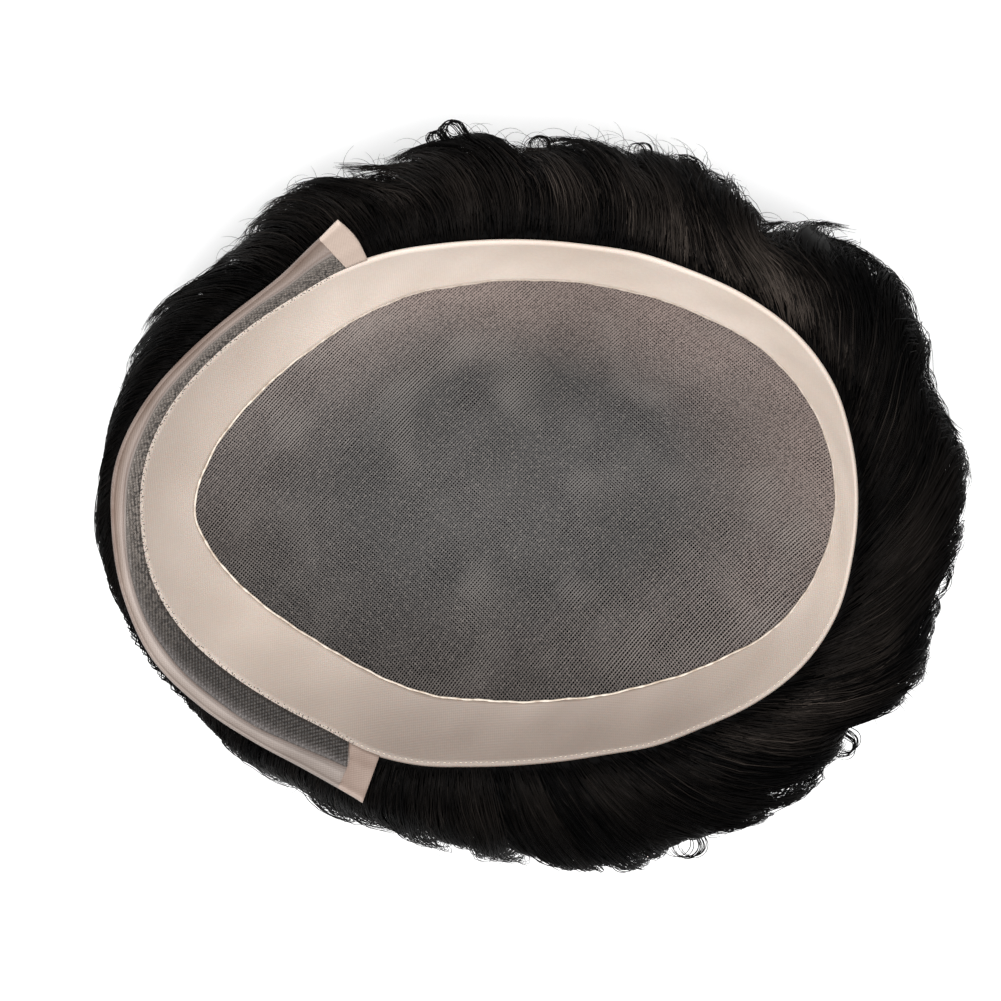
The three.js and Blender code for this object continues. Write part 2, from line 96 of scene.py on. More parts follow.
# Lobes of the outline, counter-clockwise from the front. Each row is where one begins: the angle at
# the rim, the angle at the tips, how far its strands bow on the way in degrees, the dip there in mm,
# and how far the whole outline is drawn in there in mm
LOBES = [
    (-31, -6, 0.0, 3.5, 2.2), (-4, 21, 0.0, 2.5, 3.5), (24, 45, 0.0, 2.0, 0.8), (56, 70, 0.0, 2.0, 2.2),
    (84, 90, 3.0, 2.0, -2.8), (106, 115, 5.0, 3.5, -1.8), (128, 143, 8.0, 5.5, 0.8),
    (146, 161, 12.0, 4.5, 0.5), (186, 192, 14.0, 4.5, 0.5), (210, 222.6, 8.0, 8.0, 0.0),
    (232, 246, 1.0, 4.5, -1.5), (246, 264, -2.0, 5.5, 1.2), (270, 288, -3.0, 0.5, 4.0),
    (306, 321, 0.0, 2.0, -0.6),
]

# Curled locks that stand out of the outline. Each row: angle, way round the form, heading in degrees
# from straight out, radius of the curl in mm, turn in degrees, number of strands, how far it stands out
CURLS = [
    (272, 0.44, 30, 2.4, 330, 16, 6.5), (275, 0.44, 30, 1.8, 300, 12, 5.0),
    (284, 0.42, 50, 4.5, 190, 14, 2.2), (259, 0.46, 10, 2.4, 230, 12, 1.5),
    (243, 0.44, 20, 2.2, 200, 8, 1.8), (234, 0.44, 20, 4.0, 160, 10, 1.6),
    (213, 0.42, -30, 8.0, -110, 9, 1.0), (208, 0.42, -30, 9.0, -110, 7, 3.5),
    (203, 0.40, -30, 10.0, -100, 4, 3.0), (195, 0.42, -20, 7.0, -110, 10, 2.2),
    (189, 0.40, -40, 9.0, -100, 8, 1.8), (182, 0.42, -40, 9.0, -90, 8, 1.5),
    (175, 0.45, -50, 6.0, -110, 8, 1.6), (168, 0.46, -30, 4.5, -140, 12, 1.8),
    (163, 0.46, -10, 3.5, -170, 12, 2.0), (152, 0.50, 20, 8.0, -60, 12, 3.0),
    (147, 0.50, 40, 8.0, -60, 10, 3.6), (141, 0.50, 0, 3.2, -220, 14, 5.0),
    (136, 0.52, -10, 3.8, -230, 12, 2.6), (126, 0.50, 10, 3.4, -180, 10, 0.4),
    (116, 0.52, 0, 3.8, -200, 14, 6.0), (109, 0.52, 30, 4.0, 150, 10, 0.2),
    (103, 0.52, 20, 4.4, 170, 14, 4.6), (98, 0.50, 10, 6.0, 100, 8, 2.6),
    (88, 0.50, 30, 8.0, 60, 8, 1.6), (76, 0.50, 30, 8.0, 60, 8, 1.6),
    (64, 0.52, 30, 8.0, 50, 8, 1.8), (50, 0.50, 30, 8.0, 50, 8, 2.0),
    (36, 0.48, 40, 7.0, 50, 8, 1.8), (22, 0.48, 50, 8.0, 50, 8, 1.2),
    (349, 0.45, 30, 3.5, 120, 8, 1.6), (340, 0.45, 30, 4.0, 110, 8, 1.2),
    (328, 0.46, 40, 4.0, 110, 8, 0.8),
]

# Camera, with the near side at the top of the view
ELEVATION = 76.0
ROLL = 177.5
DISTANCE = 900.0
LENS_MM, SENSOR_MM = 121.4, 36.0
AIM_ABOVE_LOW_POINT = 37.5
AIM_ACROSS = -2.4


# Forms shared with the model


def mirrored(half):
    """The whole round of a column that is given from the front to the back."""
    return np.array(half + half[-2:0:-1])


def curve_through(value_at, place):
    """Value at a place between evenly spaced ones, along a smooth curve through the four nearest."""
    row = np.floor(place).astype(int)
    f = place - row
    a, b, c, d = (value_at(row + k) for k in (-1, 0, 1, 2))
    return b + 0.5 * f * (c - a + f * (2 * a - 5 * b + 4 * c - d + f * (3 * (b - c) + d - a)))


def read_round(column, degrees):
    """Reads values that go evenly round the whole circle."""
    column = np.asarray(column, float)
    count = len(column)
    return curve_through(lambda row: column[row % count], np.asarray(degrees) * (count / 360.0))


def signed(degrees):
    """Degrees from the front, below 0 on the near side."""
    return np.mod(degrees + 180.0, 360.0) - 180.0


def read_front(column, degrees):
    """Reads values along the front edge, with the first and the last kept on past its ends."""
    column = np.asarray(column, float)
    last = len(column) - 1
    place = np.clip((signed(degrees) - FRONT_FROM) / FRONT_STEP, 0, last)
    return curve_through(lambda row: column[np.clip(row, 0, last)], place)


def smooth(value, low, high):
    share = np.clip((value - low) / (high - low), 0.0, 1.0)
    return share * share * (3 - 2 * share)


def lerp(a, b, share):
    return a + (b - a) * share


def from_front(degrees):
    return np.abs(signed(degrees))


def dome_radius(degrees):
    along, across = np.cos(np.radians(degrees)), np.sin(np.radians(degrees))
    return 1 / np.hypot(along / np.where(along > 0, DOME_FRONT, DOME_BACK), across / DOME_SIDE)


def dome_height(x, y):
    radius = np.hypot(x, y)
    full = dome_radius(np.degrees(np.arctan2(y, x)))
    share = np.minimum(radius / full, FLARE_FROM)
    slope = np.minimum(DOME_RISE * FLARE_FROM / math.sqrt(1 - FLARE_FROM ** 2) / full, FLARE_SLOPE)
    rise = DOME_RISE * (1 - np.sqrt(1 - share * share))
    return HAIR_DEPTH + rise + np.maximum(radius - FLARE_FROM * full, 0) * slope


def cloth_at(x, y, depth):
    """Points at a depth below the hollow's surface, measured square to it."""
    step = 0.5
    slope_x = (dome_height(x + step, y) - dome_height(x - step, y)) / (2 * step)
    slope_y = (dome_height(x, y + step) - dome_height(x, y - step)) / (2 * step)
    normal = np.stack([-slope_x, -slope_y, np.ones_like(slope_x)], -1)
    normal /= np.linalg.norm(normal, axis=-1, keepdims=True)
    return np.stack([x, y, dome_height(x, y)], -1) - normal * np.asarray(depth)[..., None]


def cloth_point(degrees, radius, depth):
    degrees, radius, depth = np.broadcast_arrays(degrees, radius, depth)
    turn = np.radians(degrees)
    return cloth_at(radius * np.cos(turn), radius * np.sin(turn), depth)


def net_edge(degrees):
    return read_round(mirrored(NET_SHARE), degrees) * dome_radius(degrees)


def band_edge(degrees):
    return read_round(mirrored(BAND_SHARE), degrees) * dome_radius(degrees)


def strip_edge(degrees):
    return band_edge(degrees) + SEAM_GAP + STRIP_WIDTH * read_front(STRIP_SHARE, degrees)


def margin_edge(degrees):
    return strip_edge(degrees) + SEAM_GAP + MARGIN_WIDTH * read_front(MARGIN_SHARE, degrees)


def hair_rim(degrees):
    past = smooth(from_front(degrees), RIM_LEAVES_MARGIN, RIM_ON_BAND)
    return lerp(margin_edge(degrees), band_edge(degrees), past)


def hair_profile(degrees, way):
    """Radius and height of the hair's outer form: rim at 0, widest at half, floor at 1, middle at 2."""
    degrees, way = np.broadcast_arrays(np.asarray(degrees, float), np.asarray(way, float))
    rim = hair_rim(degrees)
    top = cloth_point(degrees, rim, CLOTH_WALL + HAIR_GAP)[..., 2]
    widest = rim + HAIR_SPREAD * read_round(SPREAD, degrees)
    level = WIDEST_LEVEL * top
    turn = np.pi * np.minimum(way, 1)
    foot = widest - HAIR_TUCK
    low_radius = np.where(way < 1, foot + HAIR_TUCK * np.sin(turn), foot * (2 - way))
    radius = np.where(way < 0.5, lerp(rim, widest, np.sin(turn)), low_radius)
    height = level + np.where(way < 0.5, top - level, level) * np.cos(turn)
    return radius, height


def hair_point(degrees, way, lift):
    """Points at a height above the hair's outer form, and the directions that stand out of it."""
    step = 0.02
    radius, height = hair_profile(degrees, way)
    r1, h1 = hair_profile(degrees, way + step)
    r0, h0 = hair_profile(degrees, way - step)
    run, fall = r1 - r0, h1 - h0
    size = np.hypot(run, fall)
    out_r, out_z = -fall / size, run / size
    turn = np.radians(degrees)
    normal = np.stack([out_r * np.cos(turn), out_r * np.sin(turn), out_z], -1)
    point = np.stack([radius * np.cos(turn), radius * np.sin(turn), height], -1)
    return point + normal * np.asarray(lift)[..., None], normal


def chance(index, trait):
    value = math.sin(index * 12.9898 + trait * 78.233) * 43758.5453
    return value - math.floor(value)


# Where the hollow's lowest point lies in the frame, from the net's box


def frame_shift():
    degrees = np.arange(0, 360, 7.5)
    ring = cloth_point(degrees, net_edge(degrees), CLOTH_WALL)
    low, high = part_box("mono_net")
    middle = (ring.max(0) + ring.min(0)) / 2
    return np.array([(low.x + high.x) / 2 / MM - middle[0], (low.y + high.y) / 2 / MM - middle[1], 0.0])


SHIFT = frame_shift()
NO_TRIANGLES = np.zeros((0, 3), int)
rng = np.random.default_rng(7)


# Meshes


def write_mesh(name, points, quads, triangles, material, slot, flat=False, values=None):
    """A new object from points in millimetres, with its faces turned outwards."""
    mesh = bpy.data.meshes.new(name)
    corners = np.concatenate([np.asarray(quads, int).reshape(-1), np.asarray(triangles, int).reshape(-1)])
    sizes = np.concatenate([np.full(len(quads), 4), np.full(len(triangles), 3)]).astype(int)
    starts = np.concatenate([[0], np.cumsum(sizes)[:-1]])
    mesh.vertices.add(len(points))
    mesh.vertices.foreach_set("co", ((points + SHIFT) * MM).astype(np.float32).ravel())
    mesh.loops.add(len(corners))
    mesh.loops.foreach_set("vertex_index", corners.astype(np.int32))
    mesh.polygons.add(len(sizes))
    mesh.polygons.foreach_set("loop_start", starts.astype(np.int32))
    mesh.polygons.foreach_set("loop_total", sizes.astype(np.int32))
    mesh.polygons.foreach_set("use_smooth", np.full(len(sizes), not flat))
    mesh.update(calc_edges=True)
    if values is not None:
        mesh.attributes.new("tone", "FLOAT", "POINT").data.foreach_set("value", values.astype(np.float32))
    mesh.materials.append(material)
    piece = bpy.data.objects.new(name, mesh)
    bpy.context.scene.collection.objects.link(piece)
    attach(piece, "root")
    return piece


def plate(top, bottom, ring):
    """Faces of a closed wall between two grids of points, round a ring or with two closed ends."""
    rows, columns = top.shape[:2]
    points = np.concatenate([top.reshape(-1, 3), bottom.reshape(-1, 3)])
    index = np.arange(rows * columns).reshape(rows, columns)
    under = index + rows * columns
    if ring:
        index = np.concatenate([index, index[:1]])
        under = np.concatenate([under, under[:1]])

    def cells(a, b, c, d):
        return np.stack([a, b, c, d], -1).reshape(-1, 4)

    quads = [
        cells(index[:-1, :-1], index[1:, :-1], index[1:, 1:], index[:-1, 1:]),
        cells(under[:-1, :-1], under[:-1, 1:], under[1:, 1:], under[1:, :-1]),
        cells(index[:-1, 0], under[:-1, 0], under[1:, 0], index[1:, 0]),
        cells(index[1:, -1], under[1:, -1], under[:-1, -1], index[:-1, -1]),
    ]
    if not ring:
        quads += [
            cells(index[0, 1:], under[0, 1:], under[0, :-1], index[0, :-1]),
            cells(index[-1, :-1], under[-1, :-1], under[-1, 1:], index[-1, 1:]),
        ]
    return points, outward(points, np.concatenate(quads))


def outward(points, faces):
    """The faces, turned round if they face in."""
    a, b, c = (points[faces[:, k]] for k in (0, 1, 2))
    volume = np.einsum("ij,ij->i", a, np.cross(b, c)).sum()
    if faces.shape[1] == 4:
        d = points[faces[:, 3]]
        volume += np.einsum("ij,ij->i", a, np.cross(c, d)).sum()
    return faces if volume > 0 else faces[:, ::-1]


def tubes(paths, across, wide, high):
    """Closed tubes along many paths of the same length. paths is (count, steps, 3), across the
    direction that each section is flat along, wide and high the half sizes."""
    count, steps = paths.shape[:2]
    sides = TUBE_SIDES
    ahead = np.gradient(paths, axis=1)
    ahead /= np.linalg.norm(ahead, axis=-1, keepdims=True) + 1e-9
    up = np.cross(ahead, across)
    up /= np.linalg.norm(up, axis=-1, keepdims=True) + 1e-9
    flat = np.cross(up, ahead)
    turn = 2 * np.pi * (np.arange(sides) + 0.25) / sides
    wide, high = (np.broadcast_to(v, (count, steps))[..., None, None] for v in (wide, high))
    ringed = (
        paths[:, :, None]
        + flat[:, :, None] * wide * np.cos(turn)[:, None]
        + up[:, :, None] * high * np.sin(turn)[:, None]
    )
    index = np.arange(count * steps * sides).reshape(count, steps, sides)
    follow = np.roll(index, -1, axis=2)
    quads = np.stack([index[:, :-1], follow[:, :-1], follow[:, 1:], index[:, 1:]], -1).reshape(-1, 4)
    first, last = index[:, 0], index[:, -1]
    caps = [np.stack([first[:, 0], first[:, k + 1], first[:, k]], -1) for k in range(1, sides - 1)]
    caps += [np.stack([last[:, 0], last[:, k], last[:, k + 1]], -1) for k in range(1, sides - 1)]
    points = ringed.reshape(-1, 3)
    caps = np.concatenate(caps)
    if outward(points, quads) is not quads:
        quads, caps = quads[:, ::-1], caps[:, ::-1]
    return points, quads, caps


def joined(parts):
    """One set of arrays from many pieces, each (points, quads, caps)."""
    used = np.cumsum([0] + [len(points) for points, _, _ in parts[:-1]])
    return (
        np.concatenate([points for points, _, _ in parts]),
        np.concatenate([quads + first for (_, quads, _), first in zip(parts, used)]),
        np.concatenate([caps + first for (_, _, caps), first in zip(parts, used)]),
    )


# Materials


class Shader:
    """Short names for building one node material."""

    def __init__(self, name):
        self.material = bpy.data.materials.new(name)
        self.material.use_nodes = True
        self.nodes = self.material.node_tree.nodes
        self.links = self.material.node_tree.links
        self.surface = self.nodes["Principled BSDF"]

    def node(self, kind, inputs=None, **settings):
        made = self.nodes.new(kind)
        for key, value in settings.items():
            setattr(made, key, value)
        for key, value in (inputs or {}).items():
            if hasattr(value, "is_output"):
                self.links.new(value, made.inputs[key])
            else:
                made.inputs[key].default_value = value
        return made

    def set(self, **values):
        for key, value in values.items():
            socket = self.surface.inputs[key.replace("_", " ")]
            if hasattr(value, "is_output"):
                self.links.new(value, socket)
            else:
                socket.default_value = value

    def place(self):
        return self.node("ShaderNodeTexCoord").outputs["Object"]

    def noise(self, scale, detail=2.0):
        return self.node(
            "ShaderNodeTexNoise", {"Vector": self.place(), "Scale": scale, "Detail": detail}
        ).outputs["Fac"]

    def mix(self, share, a, b):
        made = self.node("ShaderNodeMix", data_type="RGBA")
        for socket, value in zip((made.inputs[0], made.inputs[6], made.inputs[7]), (share, a, b)):
            if hasattr(value, "is_output"):
                self.links.new(value, socket)
            else:
                socket.default_value = value if socket is made.inputs[0] else (*value, 1.0)
        return made.outputs[2]

    def spread(self, value, low, high, to_low=0.0, to_high=1.0):
        return self.node(
            "ShaderNodeMapRange",
            {"Value": value, "From Min": low, "From Max": high, "To Min": to_low, "To Max": to_high},
        ).outputs["Result"]

    def math(self, operation, a, b=0.0):
        made = self.node("ShaderNodeMath", operation=operation)
        for socket, value in zip(made.inputs, (a, b)):
            if hasattr(value, "is_output"):
                self.links.new(value, socket)
            else:
                socket.default_value = value
        return made.outputs[0]

    def axes(self):
        """X and Y of the place in the frame."""
        parts = self.node("ShaderNodeSeparateXYZ", {"Vector": self.place()}).outputs
        return parts["X"], parts["Y"]

    def most(self, *values):
        found = values[0]
        for value in values[1:]:
            found = self.math("MAXIMUM", found, value)
        return found

    def ramp(self, value, stops):
        """Colours along a value, from the first stop at 0 to the last at 1."""
        made = self.node("ShaderNodeValToRGB", {"Fac": value})
        marks = made.color_ramp.elements
        marks[0].color, marks[1].color = (*stops[0][1], 1.0), (*stops[-1][1], 1.0)
        for place, colour in stops[1:-1]:
            marks.new(place).color = (*colour, 1.0)
        return made.outputs["Color"]

    def weave(self, pitch):
        """Height of a plain weave in plan: threads both ways, turned from the base's length."""
        where = self.node(
            "ShaderNodeMapping", {"Vector": self.place(), "Rotation": (0, 0, math.radians(WEAVE_TURN))}
        ).outputs["Vector"]
        parts = self.node("ShaderNodeSeparateXYZ", {"Vector": where}).outputs
        waves = [
            self.math("SINE", self.math("MULTIPLY", parts[axis], 2 * math.pi / (pitch * MM)))
            for axis in ("X", "Y")
        ]
        return self.math("MULTIPLY", *waves)

    def bump(self, height, strength, distance):
        inputs = {"Height": height, "Strength": strength, "Distance": distance * MM}
        made = self.node("ShaderNodeBump", inputs)
        self.set(Normal=made.outputs["Normal"])
        return self.material


def net_material():
    """Fine net: dark in the middle, with a tan halo that grows towards the near side of the back."""
    s = Shader("net_thread")
    way = s.node("ShaderNodeAttribute", attribute_name="tone").outputs["Fac"]
    patch = s.mix(way, s.noise(31.0, 3.0), s.noise(23.0, 3.0))
    colour = s.mix(s.spread(patch, 0.38, 0.62), (0.026, 0.022, 0.02), (0.04, 0.0345, 0.0316))
    x, y = s.axes()
    across = s.math("MULTIPLY", s.math("SUBTRACT", x, 0.0054), 1 / 0.0855)
    along = s.math("MULTIPLY", s.math("ADD", y, 0.0072), 1 / 0.0585)
    edge = s.math("SQRT", s.math("ADD", s.math("POWER", across, 2.0), s.math("POWER", along, 2.0)))
    near_back = s.math("ADD", s.math("MULTIPLY", across, -0.65), s.math("MULTIPLY", along, -1.0))
    side = s.spread(near_back, -0.9, 0.9, 0.08, 1.0)
    halo = s.math("MULTIPLY", s.spread(edge, 0.52, 1.0), side)
    halo = s.math("MULTIPLY", halo, s.spread(s.noise(38.0, 2.0), 0.3, 0.65, 0.8, 1.15))
    colour = s.mix(halo, colour, (0.215, 0.165, 0.147))
    grain = s.noise(1500.0, 1.0)
    colour = s.mix(s.spread(grain, 0.5, 0.36, 0.0, 0.5), colour, (0.012, 0.0104, 0.0094))
    # Painted glints: the thread colour is lightened in streaky patches, with one patch noise for each
    # direction of threads, and on the brightest grains.
    glint_streak = s.spread(s.mix(way, s.noise(52.0, 1.0), s.noise(43.0, 1.0)), 0.52, 0.78, 0.0, 0.3)
    glint = s.most(glint_streak, s.spread(grain, 0.55, 0.7, 0.0, 0.22))
    s.set(Base_Color=s.mix(glint, colour, (0.28, 0.25, 0.225)), Roughness=0.4)
    s.set(Specular_IOR_Level=0.4)
    return s.bump(s.noise(2500.0), 0.3, 0.05)


def band_material():
    """Coated cloth: opaque and pale on the near side. Towards the far side and the two ends it is darker,
    partly from painted shade and partly from the cloth being less opaque there with its weave showing.
    """
    s = Shader("band_coated_cloth")
    patch = s.spread(s.noise(32.0, 4.0), 0.35, 0.65)
    colour = s.mix(patch, (0.515, 0.431, 0.367), (0.578, 0.495, 0.434))
    x, y = s.axes()
    front, back = s.spread(x, 0.05, 0.1), s.spread(x, -0.06, -0.1)
    # Mask of painted shade and see-through cloth together: darker towards the far side and at both ends.
    thin_and_shaded = s.most(s.spread(y, 0.0, 0.058), s.math("MULTIPLY", front, 0.68), s.math("MULTIPLY", back, 0.52))
    thin_and_shaded = s.math("MULTIPLY", thin_and_shaded, s.spread(s.noise(26.0, 2.0), 0.25, 0.6, 0.78, 1.0))
    colour = s.mix(thin_and_shaded, colour, (0.203, 0.163, 0.138))
    weave = s.weave(BAND_WEAVE)
    show = s.math("MULTIPLY", s.spread(weave, 0.15, 0.75), s.math("MULTIPLY", thin_and_shaded, 0.3))
    colour = s.mix(show, colour, (0.14, 0.105, 0.085))
    grain = s.spread(s.noise(1400.0, 2.0), 0.3, 0.7)
    s.set(Base_Color=s.mix(s.math("MULTIPLY", grain, 0.12), colour, (0.34, 0.25, 0.19)), Roughness=0.46)
    s.set(Coat_Weight=0.06, Coat_Roughness=0.35, Subsurface_Weight=0.06, Subsurface_Scale=0.002)
    height = s.math("ADD", weave, s.math("MULTIPLY", s.noise(700.0, 3.0), 1.2))
    return s.bump(height, 0.3, 0.06)


def seam_material():
    """Waxy cord, brightest at the front and on the far side."""
    s = Shader("seam_cord")
    x, y = s.axes()
    bright = s.most(s.spread(x, 0.03, 0.07), s.spread(y, 0.015, 0.045))
    grain = s.spread(s.noise(500.0), 0.35, 0.65)
    dull = s.mix(grain, (0.32, 0.26, 0.21), (0.42, 0.35, 0.3))
    pale = s.mix(grain, (0.4, 0.32, 0.25), (0.64, 0.57, 0.49))
    s.set(Base_Color=s.mix(bright, dull, pale), Roughness=0.45)
    return s.bump(s.noise(1800.0), 0.6, 0.12)


def lace_material():
    """Open lace over dark hair, greyer and paler on the near side, with knots that grow sparser outwards."""
    s = Shader("lace_cloth")
    across = s.node("ShaderNodeAttribute", attribute_name="tone").outputs["Fac"]
    _, y = s.axes()
    far_side = s.spread(y, -0.01, 0.03)
    thread = s.mix(far_side, (0.19, 0.165, 0.146), (0.043, 0.037, 0.033))
    uneven = s.spread(s.noise(300.0, 2.0), 0.3, 0.6, 0.5, 1.0)
    outer = s.math("MULTIPLY", s.spread(across, 0.6, 0.92), uneven)
    thread = s.mix(s.math("MULTIPLY", outer, far_side), thread, (0.13, 0.115, 0.11))
    thinning = s.spread(across, 1.0, 0.4, 0.45, 1.0)
    knots = s.math("MULTIPLY", s.spread(s.noise(1150.0, 2.0), 0.46, 0.55), thinning)
    cells = s.spread(s.weave(LACE_WEAVE), -0.2, 0.35)
    dark = s.most(s.math("MULTIPLY", knots, 0.85), s.math("MULTIPLY", cells, 0.45))
    s.set(Base_Color=s.mix(dark, thread, (0.014, 0.012, 0.011)), Roughness=0.55)
    return s.bump(s.math("ADD", s.weave(LACE_WEAVE), s.noise(1150.0, 2.0)), 0.8, 0.2)


def margin_material():
    """Clear lace over hair, pink on the near side with a brown outer edge, and grey and pale on the far
    side with a narrow brown line inside. The wings' ends are plain: pale pink near, brown far."""
    s = Shader("margin_lace")
    across = s.node("ShaderNodeAttribute", attribute_name="tone").outputs["Fac"]
    _, y = s.axes()
    far_side = s.spread(y, -0.01, 0.03)
    near_colour = s.ramp(across, [
        (0.0, (0.18, 0.155, 0.14)), (0.14, (0.283, 0.244, 0.225)), (0.22, (0.25, 0.19, 0.165)),
        (0.34, (0.32, 0.26, 0.233)), (0.6, (0.26, 0.2, 0.168)), (0.8, (0.22, 0.157, 0.125)),
        (1.0, (0.13, 0.08, 0.058)),
    ])
    far_colour = s.ramp(across, [
        (0.0, (0.17, 0.146, 0.135)), (0.1, (0.12, 0.082, 0.065)), (0.2, (0.34, 0.29, 0.265)),
        (0.3, (0.385, 0.33, 0.3)), (0.6, (0.4, 0.337, 0.3)), (0.88, (0.31, 0.255, 0.222)),
        (1.0, (0.2, 0.15, 0.123)),
    ])
    shade = s.math("MULTIPLY", s.spread(y, -0.008, -0.04, 0.0, 0.42), s.spread(across, 0.2, 0.7, 0.4, 1.0))
    near_colour = s.mix(shade, near_colour, (0.1, 0.068, 0.054))
    far_colour = s.mix(s.spread(y, 0.015, 0.055, 0.0, 0.62), far_colour, (0.13, 0.105, 0.092))
    colour = s.mix(far_side, near_colour, far_colour)
    patch = s.spread(s.noise(90.0, 3.0), 0.35, 0.65)
    ends = s.mix(far_side, (0.50, 0.396, 0.333), s.mix(patch, (0.222, 0.157, 0.127), (0.293, 0.22, 0.183)))
    colour = s.mix(s.math("MULTIPLY", patch, 0.15), colour, (0.4, 0.335, 0.3))
    colour = s.mix(s.spread(across, 1.05, 1.5), colour, ends)
    threads = s.math("MULTIPLY", s.spread(s.weave(MARGIN_WEAVE), 0.1, 0.7), 0.16)
    s.set(Base_Color=s.mix(threads, colour, (0.13, 0.1, 0.09)), Roughness=0.4)
    s.set(Coat_Weight=0.12, Coat_Roughness=0.28)
    return s.bump(s.weave(MARGIN_WEAVE), 0.4, 0.08)


def hair_material(name, dark, light, gloss):
    s = Shader(name)
    tone = s.node("ShaderNodeAttribute", attribute_name="tone").outputs["Fac"]
    patch = s.spread(s.noise(60.0, 2.0), 0.3, 0.7, 0.4, 1.0)
    # The tone attribute carries the strands' painted sheen along with their own tone.
    s.set(Base_Color=s.mix(s.math("MULTIPLY", tone, patch), dark, light), Roughness=0.38)
    s.set(Specular_IOR_Level=gloss)
    return s.bump(s.noise(3000.0), 0.15, 0.03)


def stitch_material():
    s = Shader("stitch_thread")
    s.set(Base_Color=s.mix(s.noise(600.0), (0.5, 0.4, 0.3), (0.8, 0.71, 0.6)), Roughness=0.5)
    return s.bump(s.noise(2500.0), 0.5, 0.05)


# Base


def wave(x, y, lean, length, phase):
    """Smooth rise and fall over the plan, from -1 to 1."""
    turn = math.radians(lean)
    run = 2 * np.pi * (x * math.cos(turn) + y * math.sin(turn)) / length + phase
    return np.sin(run + 0.8 * np.sin(0.6 * run + 2.0 * phase))


def net_threads(lean, depth):
    """One direction of the net's threads, laid over the bowl at an angle in plan. They wander a little
    and vary in width, so that the holes close up in places."""
    reach = max(DOME_FRONT, DOME_BACK)
    turn = math.radians(lean)
    ahead, beside = np.array([math.cos(turn), math.sin(turn)]), np.array([-math.sin(turn), math.cos(turn)])
    along = np.arange(-reach, reach, 0.4)
    parts = []
    for place in np.arange(-reach, reach, NET_PITCH):
        line = beside * place + along[:, None] * ahead
        degrees = np.degrees(np.arctan2(line[:, 1], line[:, 0]))
        inside = np.hypot(line[:, 0], line[:, 1]) < net_edge(degrees) + NET_OVERLAP
        if inside.sum() < 4:
            continue
        low, high = along[inside][[0, -1]]
        steps = max(3, int((high - low) / NET_STEP) + 2)
        run = beside * place + np.linspace(low, high, steps)[:, None] * ahead
        x, y = run.T
        aside = 0.09 * wave(x, y, lean + 65.0, 21.0, lean) + 0.06 * wave(x, y, lean + 110.0, 13.0, 2.0)
        aside = aside + 0.07 * math.sin(place * 7.3) * wave(x, y, lean, 60.0, place)
        run = run + aside[:, None] * beside
        broad = 1 + 0.07 * wave(x, y, lean + 80.0, 17.0, 1.0) + 0.05 * wave(x, y, lean + 30.0, 29.0, 4.0)
        rim = np.hypot(x, y) / net_edge(np.degrees(np.arctan2(y, x)))
        near_back = smooth(-0.6 * x / DOME_BACK - y / DOME_SIDE, 0.0, 0.5)
        broad = broad + 0.22 * smooth(rim, 0.45, 0.95) * near_back
        path = cloth_at(run[:, 0], run[:, 1], np.full(steps, depth))[None]
        parts.append(tubes(path, np.array([*beside, 0.0]), NET_HALF_WIDE * broad[None], NET_HALF_HIGH))
    return joined(parts)


def net_piece(material):
    """Both directions of threads as one cloth."""
    ways = [net_threads(WEAVE_TURN, NET_FIRST_DEPTH), net_threads(-WEAVE_TURN, NET_SECOND_DEPTH)]
    tone = [np.full(len(points), float(number)) for number, (points, _, _) in enumerate(ways)]
    tone = np.concatenate(tone)
    return write_mesh("net_cloth", *joined(ways), material, "net", flat=True, values=tone)


def band_piece(material):
    degrees = np.arange(0, 360, 1.0)
    share = np.linspace(0, 1, 15)
    inner, outer = net_edge(degrees) + 0.1, band_edge(degrees)
    radius = lerp(inner[:, None], outer[:, None], share)
    angle = np.broadcast_to(degrees[:, None], radius.shape)
    ripple = 0.10 * np.sin(np.radians(angle) * 23 + share * 5) * np.sin(np.pi * share)
    rounded = 0.14 * (1 - np.sin(np.pi * np.clip(share, 0.02, 0.98)) ** 0.25)
    top = cloth_point(angle, radius, 0.05 + rounded + ripple)
    bottom = cloth_point(angle, radius, CLOTH_WALL)
    points, quads = plate(top, bottom, ring=True)
    return write_mesh("band_cloth", points, quads, NO_TRIANGLES, material, "band")


def seam_piece(material):
    """Thin raised cord along the band's inner edge, slightly wavy as it was laid by hand."""
    degrees = np.arange(0, 360, 0.6)
    wander = 0.07 * np.sin(np.radians(degrees) * 47) + 0.08 * np.sin(np.radians(degrees) * 19 + 1)
    turn = np.radians(degrees)
    raised = smooth(np.sin(turn) + 0.7 * np.cos(turn), -0.2, 0.5)
    path = cloth_point(degrees, net_edge(degrees) + 0.3 + wander, lerp(0.17, -0.05, raised))
    radius = SEAM_RADIUS + 0.05 * np.sin(np.radians(degrees) * 120)
    return ring_tube("band_seam", path, radius, material, "band")


def ring_tube(name, path, radius, material, slot, sides=6):
    """A tube that closes on itself."""
    ahead = np.roll(path, -1, 0) - np.roll(path, 1, 0)
    ahead /= np.linalg.norm(ahead, axis=1, keepdims=True)
    side = np.cross(ahead, (0.0, 0.0, 1.0))
    side /= np.linalg.norm(side, axis=1, keepdims=True)
    up = np.cross(side, ahead)
    turn = 2 * np.pi * np.arange(sides) / sides
    size = np.broadcast_to(radius, len(path))[:, None, None]
    section = side[:, None] * np.cos(turn)[:, None] + up[:, None] * np.sin(turn)[:, None]
    points = path[:, None] + size * section
    index = np.arange(len(path) * sides).reshape(len(path), sides)
    ahead_index = np.roll(index, -1, 0)
    quads = np.stack(
        [index, np.roll(index, -1, 1), np.roll(ahead_index, -1, 1), ahead_index], -1
    ).reshape(-1, 4)
    points = points.reshape(-1, 3)
    return write_mesh(name, points, outward(points, quads), NO_TRIANGLES, material, slot)


